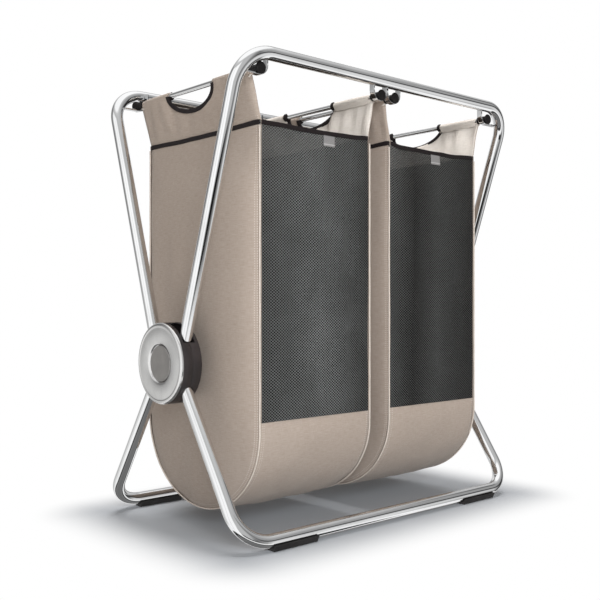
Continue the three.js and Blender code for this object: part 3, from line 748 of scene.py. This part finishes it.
for side, outward in both_ends:
    for where in ("outer", "inner"):
        node = side + "_bag_" + where + "_panel"
        seed = panel_seeds[side + "_" + where]
        flap_creases = smooth_flap if node == "left_bag_outer_panel" else loose_flap
        least_swell, front_swell = swells[where]
        away, plane, rod_x, flap = flap_of(outward, where)
        work, steps = soft_grid(panel_columns, panel_rows)
        for point, (column, row) in steps.items():
            rim_y = panel_column(column)
            inset = half_depth - abs(rim_y)
            y = rim_y
            z = rim_height
            if row <= curve_rows:
                turn = math.pi / 2 * (1 - row / curve_rows)
                y = rim_y * math.cos(turn)
                z = curve_start - curve_rise * math.sin(turn)
                inset = seam_of_side(y, z)[0]
            elif row <= curve_rows + straight_rows:
                z = curve_start + (rim_height - curve_start) * (row - curve_rows) / straight_rows
            below_rim = softened((rim_height - z) / swell_fade)
            toward_front = softened(0.5 - y / front_run)
            swell = (least_swell + front_swell * toward_front) * (1 - math.exp(-inset / swell_run))
            tuck = corner_inset * math.exp(-inset / corner_run)
            x = plane + away * (swell * below_rim - tuck)
            x += away * below_rim * creased(y, z, seed, panel_creases)
            if row > curve_rows + straight_rows:
                lift = (row - curve_rows - straight_rows) / flap_rows
                top = 1.0
                if edge_columns < column < edge_columns + hole_columns:
                    spread = (rim_y - hole_centre) / hole_half
                    rounded = math.sin(spread * math.pi / 2)
                    y = hole_centre + hole_half * (spread + (rounded - spread) * lift)
                    drop = hole_drop * math.sqrt(max(0.0, 1 - ((y - hole_centre) / hole_half) ** 2))
                    top = 1 - drop / flap.z
                rise = flap * (lift * top)
                z += rise.z
                ripple = math.sin(math.pi * min(1.0, lift * top))
                x += rise.x + away * ripple * creased(y, z, seed, flap_creases)
            point.co = (x, y, z)
        top_edges = []
        for edge in work.edges:
            columns = [steps[v][0] for v in edge.verts]
            if all(steps[v][1] == panel_rows for v in edge.verts):
                if max(columns) <= edge_columns or min(columns) >= edge_columns + hole_columns:
                    top_edges.append(edge)
        rod = Vector((rod_x, 0, rod_height))
        first_angle = math.atan2(flap.z + rim_height - rod_height, flap.x + plane - rod_x)
        old_faces = set(work.faces)
        end = bent(work, top_edges, rod, (0, 1, 0), -away * sleeve_turn, sleeve_steps)
        hem_end = Vector((plane, 0, rim_height)) + flap * (1 - hem_depth / flap.length)
        hem_end += Vector((-away * hem_gap, 0, 0))
        hem_start = end[0].verts[0].co
        hem_step = Vector((hem_end.x - hem_start.x, 0, hem_end.z - hem_start.z)) / hem_rows
        for step in range(hem_rows):
            end = drawn(work, end, hem_step)
        # Each finish is followed by the one on the cloth's other side: canvas and the bag's
        # inside below the rim, canvas and the flap's back above it. The bag's inside is that back
        # in a much darker colour, painted shade for the dim inside of the bag. The part that is
        # turned over the rod shows that back.
        for face in work.faces:
            middle = face.calc_center_median()
            if middle.z > rim_height:
                face.material_index = 2
            turned_in = away * (rod_x - middle.x) > past_rod or middle.z < rod_height - under_rod
            if face not in old_faces and turned_in:
                face.material_index = 3
        bmesh.ops.remove_doubles(work, verts=work.verts, dist=join_gap)

        def cut_of(vert, face):
            from_rod = Vector((vert.co.x - rod_x, 0, vert.co.z - rod_height))
            if from_rod.length < sleeve_radius + 0.6:
                angle = math.atan2(from_rod.z, from_rod.x) - first_angle
                angle = (-away * angle) % (2 * math.pi)
                return vert.co.y, rim_height + flap.length + angle * sleeve_radius
            return vert.co.y, vert.co.z

        def seam_at(vert, face):
            middle = face.calc_center_median()
            if middle.z > seam_top:
                return no_seam, vert.co.z
            return seam_of_side(vert.co.y, vert.co.z)

        marked(work, cut_of, seam_at)
        faced(work, outward)
        name = side + "_" + where + "_canvas"
        panel = walled(work, name, cloth_thickness, canvas, bag_inside, canvas, flap_back)
        placed(panel, side + "_bag", "canvas", node)

# The bags' wrap: one long strip of the same canvas. It is the low front, turns under the bag
# as its floor, and comes up again as the whole back. Both long edges are sewn to the sides.
mesh_foot = 178.0
back_top = rim_height - 0.5
wrap_belly = 3.2
wrap_inset = 0.8
wrap_creases = [(2.2, 1.0, 48, 0), (0.9, 1.0, 20, 4)]
wrap_seeds = {"left": 31.0, "right": 43.0}
held_rows = 3
wrap_columns = 26
front_rows = 3
bow_rows = 30
back_rows = 30
wrap_rows = front_rows + bow_rows + back_rows
back_sag = 4.5
front_rim = [
    (-253, 0.6), (-140, -0.6), (-60, 1.2), (-22, 4.2), (22, 2.6),
    (50, -1.2), (102, -2.2), (156, -2.0), (190, -2.4), (253, 2.0),
]


def rim_sag(x, front):
    """How far the rim's tape lies above its cut height, at a place across the hamper."""
    if not front:
        inset = (abs(x) - bag_inner) / (bag_outer - bag_inner)
        return -back_sag * math.sin(math.pi * max(0.0, min(1.0, inset)))
    for (low, first), (high, last) in zip(front_rim, front_rim[1:]):
        if low <= x <= high:
            return first + (last - first) * softened((x - low) / (high - low))
    return front_rim[0][1] if x < 0 else front_rim[-1][1]


for side, outward in both_ends:
    node = side + "_bag_wrap_panel"
    work, steps = soft_grid(wrap_columns, wrap_rows)
    lengths = {}
    for point, (column, row) in steps.items():
        share = column / wrap_columns
        x = outward * (bag_inner + (bag_outer - bag_inner) * share)
        middle = 1 - (2 * share - 1) ** 4
        if row <= front_rows:
            y = -half_depth
            z = mesh_foot + (curve_start - mesh_foot) * row / front_rows
            length = mesh_foot - z
            out = Vector((0, -1, 0))
        elif row <= front_rows + bow_rows:
            turn = math.pi * (row - front_rows) / bow_rows
            y = -half_depth * math.cos(turn)
            z = curve_start - curve_rise * math.sin(turn)
            length = mesh_foot - curve_start + turn * curve_radius
            out = Vector((0, -math.cos(turn), -math.sin(turn)))
        else:
            y = half_depth
            z = curve_start + (back_top - curve_start) * (row - front_rows - bow_rows) / back_rows
            length = mesh_foot - curve_start + math.pi * curve_radius + z - curve_start
            out = Vector((0, 1, 0))
            z += rim_sag(x, False) * (z - curve_start) / (rim_height - curve_start)
        belly = wrap_belly * middle + creased(x, length, wrap_seeds[side], wrap_creases)
        calm = min(1.0, row / held_rows, (wrap_rows - row) / held_rows)
        point.co = Vector((x, y, z)) + out * (belly * calm - wrap_inset)
        lengths[point] = (outward * x, length)

    def seam_at(vert, face):
        across, length = lengths[vert]
        return min(across - bag_inner, bag_outer - across), length

    marked(work, lambda vert, face: lengths[vert], seam_at)
    faced(work, outward)
    wrap = walled(work, side + "_wrap_canvas", cloth_thickness, canvas, bag_inside)
    placed(wrap, side + "_bag", "canvas", node)

# The front windows: dark knitted polyester mesh with staggered holes, sewn between the rim's
# tape, the two sides and the low canvas front. One sees dimly through it into the bag, as its
# holes are painted near-black and partly opaque: painted shade for the bag's dark inside.
netting, cut = new_finish("dark_netting", "Cut")
hole_pitch = (0.0056, 0.0044)
pitches = (1 / hole_pitch[0], 1 / hole_pitch[1], 1)
scaled = cut.vectors("MULTIPLY", pitches)
first = scaled.vectors("FRACTION")
second = scaled.vectors("ADD", (0.5, 0.5, 0)).vectors("FRACTION")
first = first.vectors("DISTANCE", (0.5, 0.5, 0), "Value")
second = second.vectors("DISTANCE", (0.5, 0.5, 0), "Value")
nearest = cut.maths("MINIMUM", first, second)
knit = nearest.between(0.22, 0.36)
fuzz = grained(cut, 2600.0, 2.0)
fade = grained(cut, 12.0, 3.0)
yarn = fade.between(0.35, 0.7).mixed(shade("6A6B6A"), shade("7B7C7B"))
# Painted shade and light on the netting, from the hamper's left end to its right: its yarn is
# darkened where it hangs before a bag's shaded side and left paler where light falls through it.
place = cut.node("ShaderNodeTexCoord", {}, {}, "Object")
net_span = 0.52
painted_shade = (place.part("X") / net_span + 0.5).ramped([
    (0.0, 0.55), (0.10, 0.34), (0.24, 0.02), (0.37, 0.42), (0.45, 0.75), (0.55, 0.50),
    (0.66, 0.98), (0.78, 0.62), (0.97, 0.95),
])
painted_shade = cut.node("ShaderNodeSeparateColor", {}, {0: painted_shade}, "Red")
# Painted shade: the yarn goes toward near-black where the ramp is high.
yarn = painted_shade.mixed(yarn, shade("2C2C2B"))
yarn = (fuzz.between(0.4, 0.7) * 0.2).mixed(yarn, shade("3C3B3A"))
# Painted shade: the holes are coloured near-black and stay partly opaque, to darken the view into the
# bag.
yarn = knit.mixed(shade("080808"), yarn)
height = nearest.between(0.2, 0.4) + 0.3 * fuzz
relief = raised(height, 0.6, 0.0004)
others = {"Normal": relief, "Alpha": knit * 0.42 + 0.58, "Specular IOR Level": 0.45}
finished(cut, yarn, 0.45 + 0.15 * fuzz, others)

net_thickness = 0.9
net_columns = 40
net_rows = 70
net_plane = -148.4
net_inset = 0.5
net_width = bag_outer - bag_inner - 2 * net_inset
net_low = mesh_foot - 3
net_high = rim_height - 1
net_belly = 4.0
calm_height = 60
calm_share = 1 / 9
net_seeds = {"left": 61.0, "right": 71.0}


def net_drift(x, z, seed):
    """How far the netting hangs out of its plane."""
    low = min(1.0, max(0.0, z - mesh_foot) / calm_height)
    high = min(1.0, max(0.0, rim_height - z) / calm_height)
    inset = max(0.0, min(1.0, (abs(x) - bag_inner) / (bag_outer - bag_inner)))
    calm = min(low, high, inset / calm_share, (1 - inset) / calm_share)
    slack = 3.4 * rumple(x + 0.25 * z, z * 0.35, 80, seed) + 2.2 * rumple(x, z * 0.2, 34, seed + 3)
    belly = net_belly * (1 - (2 * inset - 1) ** 2) * min(low, high)
    return calm * slack - belly


for side, outward in both_ends:
    node = side + "_bag_mesh_panel"
    work, steps = soft_grid(net_columns, net_rows)
    lengths = {}
    for point, (column, row) in steps.items():
        x = outward * (bag_inner + net_inset + net_width * column / net_columns)
        z = net_low + (net_high - net_low) * row / net_rows
        lengths[point] = (x, z)
        lift = rim_sag(x, True) * (z - mesh_foot) / (rim_height - mesh_foot)
        point.co = (x, net_plane + net_drift(x, z, net_seeds[side]), z + lift)

    marked(work, lambda vert, face: lengths[vert])
    bmesh.ops.recalc_face_normals(work, faces=work.faces)
    net = walled(work, side + "_netting", net_thickness, netting)
    placed(net, side + "_bag", "mesh", node)

# The tape: black ribbed polyester, folded over every raw edge and sewn through. It runs round
# the bag's rim, over the two sides as well, and round both hand holes up over the sleeves.
tape, cut = new_finish("black_tape", "Cut")
rib_pitch = 0.0009
rib = cut.maths("SINE", cut.part("X") * (2 * math.pi / rib_pitch))
fuzz = grained(cut, 1500.0, 3.0)
black = fuzz.between(0.4, 0.75).mixed(shade("191415"), shade("2C2525"))
relief = raised(rib * 0.4 + fuzz * 0.5, 0.5, 0.0004)
finished(cut, black, 0.75 + 0.15 * fuzz, {"Normal": relief, "Specular IOR Level": 0.3})

tape_step = 1.2
tape_outline = [
    (-1.3, 3.0), (-1.0, 3.5), (-0.4, 3.75), (0.4, 3.75), (1.0, 3.5), (1.3, 3.0),
    (1.35, 0.0), (1.3, -3.1), (0.9, -3.4), (-0.9, -3.4), (-1.3, -3.1), (-1.35, 0.0),
]


def taped(name, path, outs, ups, outline, closed):
    """Tape of this outline laid along a path, each step turned by its own out and up."""
    work = bmesh.new()
    marks = {}
    rings = []
    run = 0.0
    for step, (point, out, up) in enumerate(zip(path, outs, ups)):
        if step:
            run += (point - path[step - 1]).length
        ring = [work.verts.new(point + out * wide + up * high) for wide, high in outline]
        for number, vert in enumerate(ring):
            marks[vert] = (run, number * tape_step)
        rings.append([work.edges.new((ring[i], ring[i - 1])) for i in range(len(ring))])
    pairs = list(zip(rings, rings[1:]))
    if closed:
        pairs.append((rings[-1], rings[0]))
    for first, last in pairs:
        bmesh.ops.bridge_loops(work, edges=first + last)
    if not closed:
        bmesh.ops.holes_fill(work, edges=work.edges)

    marked(work, lambda vert, face: marks[vert])
    bmesh.ops.recalc_face_normals(work, faces=work.faces)
    return smooth(worked(work, name, tape), 60)


rim_corner = 9.0
corner_steps = 6
straight_x = 24
straight_y = 30
tape_drop = 3.75
side_sag = 2.2
inner_x = bag_inner - 0.6
outer_x = bag_outer + 1.3
middle_x = (inner_x + outer_x) / 2
half_x = (outer_x - inner_x) / 2
half_y = half_depth + 0.1
end_x = half_x - rim_corner
end_y = half_y - rim_corner
legs = [
    ((-end_x, -half_y, 0), (end_x, -half_y, 0), straight_x, -90),
    ((half_x, -end_y, 0), (half_x, end_y, 0), straight_y, 0),
    ((end_x, half_y, 0), (-end_x, half_y, 0), straight_x, 90),
    ((-half_x, end_y, 0), (-half_x, -end_y, 0), straight_y, 180),
]
for side, outward in both_ends:
    path = []
    outs = []
    for first, last, count, bearing in legs:
        first = Vector(first)
        last = Vector(last)
        out = Vector((math.cos(math.radians(bearing)), math.sin(math.radians(bearing)), 0))
        for step in range(count + 1):
            path.append(first.lerp(last, step / count))
            outs.append(out)
        centre = last - out * rim_corner
        for step in range(1, corner_steps):
            turn = math.radians(bearing + 90 * step / corner_steps)
            out_now = Vector((math.cos(turn), math.sin(turn), 0))
            path.append(centre + out_now * rim_corner)
            outs.append(out_now)
    for number, point in enumerate(path):
        x = middle_x * outward + point.x
        share = (point.y + half_y) / (2 * half_y)
        lift = rim_sag(x, True) * (1 - share) + rim_sag(x, False) * share
        lift -= side_sag * math.sin(math.pi * share)
        lift += 0.8 * rumple(x, point.y, 38, 83.0 + outward)
        path[number] = Vector((x, point.y, rim_height - tape_drop + lift))
    ups = [Vector((0, 0, 1))] * len(path)
    rim = taped(side + "_rim_tape", path, outs, ups, tape_outline, True)
    placed(rim, side + "_bag", "tape", side + "_bag_rim_binding")

hole_outline = [
    (-1.7, 2.2), (-1.2, 3.1), (0.2, 3.5), (1.6, 3.1), (2.2, 2.2),
    (2.25, -0.8), (2.1, -3.0), (0.2, -3.4), (-1.6, -3.0), (-1.75, -0.8),
]
over_turn = math.radians(235)
over_steps = 11
around_steps = 30
for side, outward in both_ends:
    for where in ("outer", "inner"):
        node = side + "_bag_" + where + "_hand_hole_binding"
        away, plane, rod_x, flap = flap_of(outward, where)
        base = Vector((plane, 0, rim_height))
        rod = Vector((rod_x, 0, rod_height))
        arm = base + flap - rod
        slope = flap.normalized()
        out = Vector((away * slope.z, 0, -away * slope.x))

        def over_rod(step, end):
            """One step of the tape over the sleeve, at the front or back end of the hand hole."""
            spoke = Matrix.Rotation(away * over_turn * step / over_steps, 3, "Y") @ arm
            point = rod + spoke + Vector((0, hole_centre + end * hole_half, 0))
            return point, spoke.normalized(), Vector((0, -end, 0))

        laid = [over_rod(step, -1) for step in range(over_steps, 0, -1)]
        for step in range(around_steps + 1):
            turn = math.pi * step / around_steps
            y = -math.cos(turn)
            drop = math.sin(turn)
            share = 1 - hole_drop * drop / flap.z
            point = base + flap * share + Vector((0, hole_centre + hole_half * y, 0))
            inward = Vector((0, -y / hole_half, 0)) + slope * (drop / hole_drop)
            laid.append((point, out, inward.normalized()))
        laid += [over_rod(step, 1) for step in range(1, over_steps + 1)]
        path, outs, ups = zip(*laid)
        binding = taped(node + "_tape", path, outs, ups, hole_outline, False)
        placed(binding, side + "_bag", "tape", node)

# The tags: small bare tabs of thin grey ribbon, cut to length and hemmed, one to each bag.
# Their top is caught in the rim's seam at the front.
tag_finish, cut = new_finish("grey_ribbon", "Cut")
ribbon_pitch = 0.0007
hem_place = 0.0032
rib = cut.maths("SINE", cut.part("Y") * (2 * math.pi / ribbon_pitch))
fuzz = grained(cut, 600.0, 3.0)
hem = 1 - cut.maths("ABSOLUTE", cut.part("Y") - hem_place).between(0.0005, 0.0011)
grey = fuzz.between(0.35, 0.7).mixed(shade("827F7E"), shade("757271"))
grey = (hem * 0.7).mixed(grey, shade("AFACAA"))
relief = raised(rib * 0.4 + hem, 0.4, 0.0002)
finished(cut, grey, 0.55 + 0.15 * fuzz, {"Normal": relief})

tag_width = 24.0
tag_height = 17.0
tag_thickness = 0.5
tag_top = 614.0
tag_gap = 1.3
tag_columns = 10
tag_rows = 8
for side, tag_x in (("left", -115.0), ("right", 141.0)):
    work, steps = soft_grid(tag_columns, tag_rows)
    lengths = {}
    for point, (column, row) in steps.items():
        x = tag_x - tag_width / 2 + tag_width * column / tag_columns
        down = 1 - row / tag_rows
        z = tag_top + rim_sag(tag_x, True) - tag_height * down
        curl = 0.9 * down * math.sin(math.pi * column / tag_columns) + 0.5 * rumple(x, z, 12, 91.0)
        y = net_plane + net_drift(tag_x, z, net_seeds[side]) - tag_gap - 0.5 * curl
        point.co = (x, y, z)
        lengths[point] = (tag_width * column / tag_columns, tag_height * (1 - down))

    marked(work, lambda vert, face: lengths[vert])
    tag = walled(work, side + "_tab", tag_thickness, tag_finish)
    placed(tag, side + "_bag", "tag", side + "_bag_tag")

# The seams: each side is joined to the wrap and the net by a rolled seam of the canvas, sewn
# inside out and turned, so that a narrow cord-like edge stands out all the way round.
piping, place = new_finish("pale_piping")
fibre = grained(place, 900.0, 4.0)
pale = fibre.between(0.35, 0.7).mixed(shade("D6CBC1"), shade("BCAFA3"))
relief = raised(fibre, 0.5, 0.0004)
finished(place, pale, 0.85, {"Normal": relief, "Specular IOR Level": 0.25})

roll_radius = 1.2
roll_sides = 10
roll_top = rim_height - 8
roll_steps = 20
roll_bend_steps = 40
fall = Vector((0, 0, (curve_start - roll_top) / roll_steps))
for side, outward in both_ends:
    for where, reach in (("outer", bag_outer + 0.2), ("inner", bag_inner - 0.2)):
        work = bmesh.new()
        flat = Matrix.Translation((outward * reach, -half_depth - 0.3, roll_top))
        bmesh.ops.create_circle(work, segments=roll_sides, radius=roll_radius, matrix=flat)
        end = list(work.edges)
        for step in range(roll_steps):
            end = drawn(work, end, fall)
        end = bent(work, end, (0, 0, curve_start), (1, 0, 0), math.pi, roll_bend_steps)
        for step in range(roll_steps):
            end = drawn(work, end, -fall)
        bmesh.ops.holes_fill(work, edges=work.edges)
        for vert in work.verts:
            if vert.co.z < curve_start:
                vert.co.z = curve_start + (vert.co.z - curve_start) * curve_rise / half_depth
            vert.co.x += 0.5 * rumple(vert.co.y, vert.co.z, 30, 97.0 + reach)
        bmesh.ops.recalc_face_normals(work, faces=work.faces)
        roll = smooth(worked(work, side + "_" + where + "_seam_roll", piping), 60)
        placed(roll, side + "_bag", "canvas")

# Folding: the rods tip with the frame while its hooks close up. Each bag's canvas, net,
# tape and tag pieces are given a mesh of their own.
for side in ("left", "right"):
    for piece in list(bpy.context.scene.objects):
        soft = piece.get("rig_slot") in ("canvas", "mesh", "tape", "tag")
        if soft and piece.type == "MESH" and piece.get("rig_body") == side + "_bag":
            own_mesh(piece)
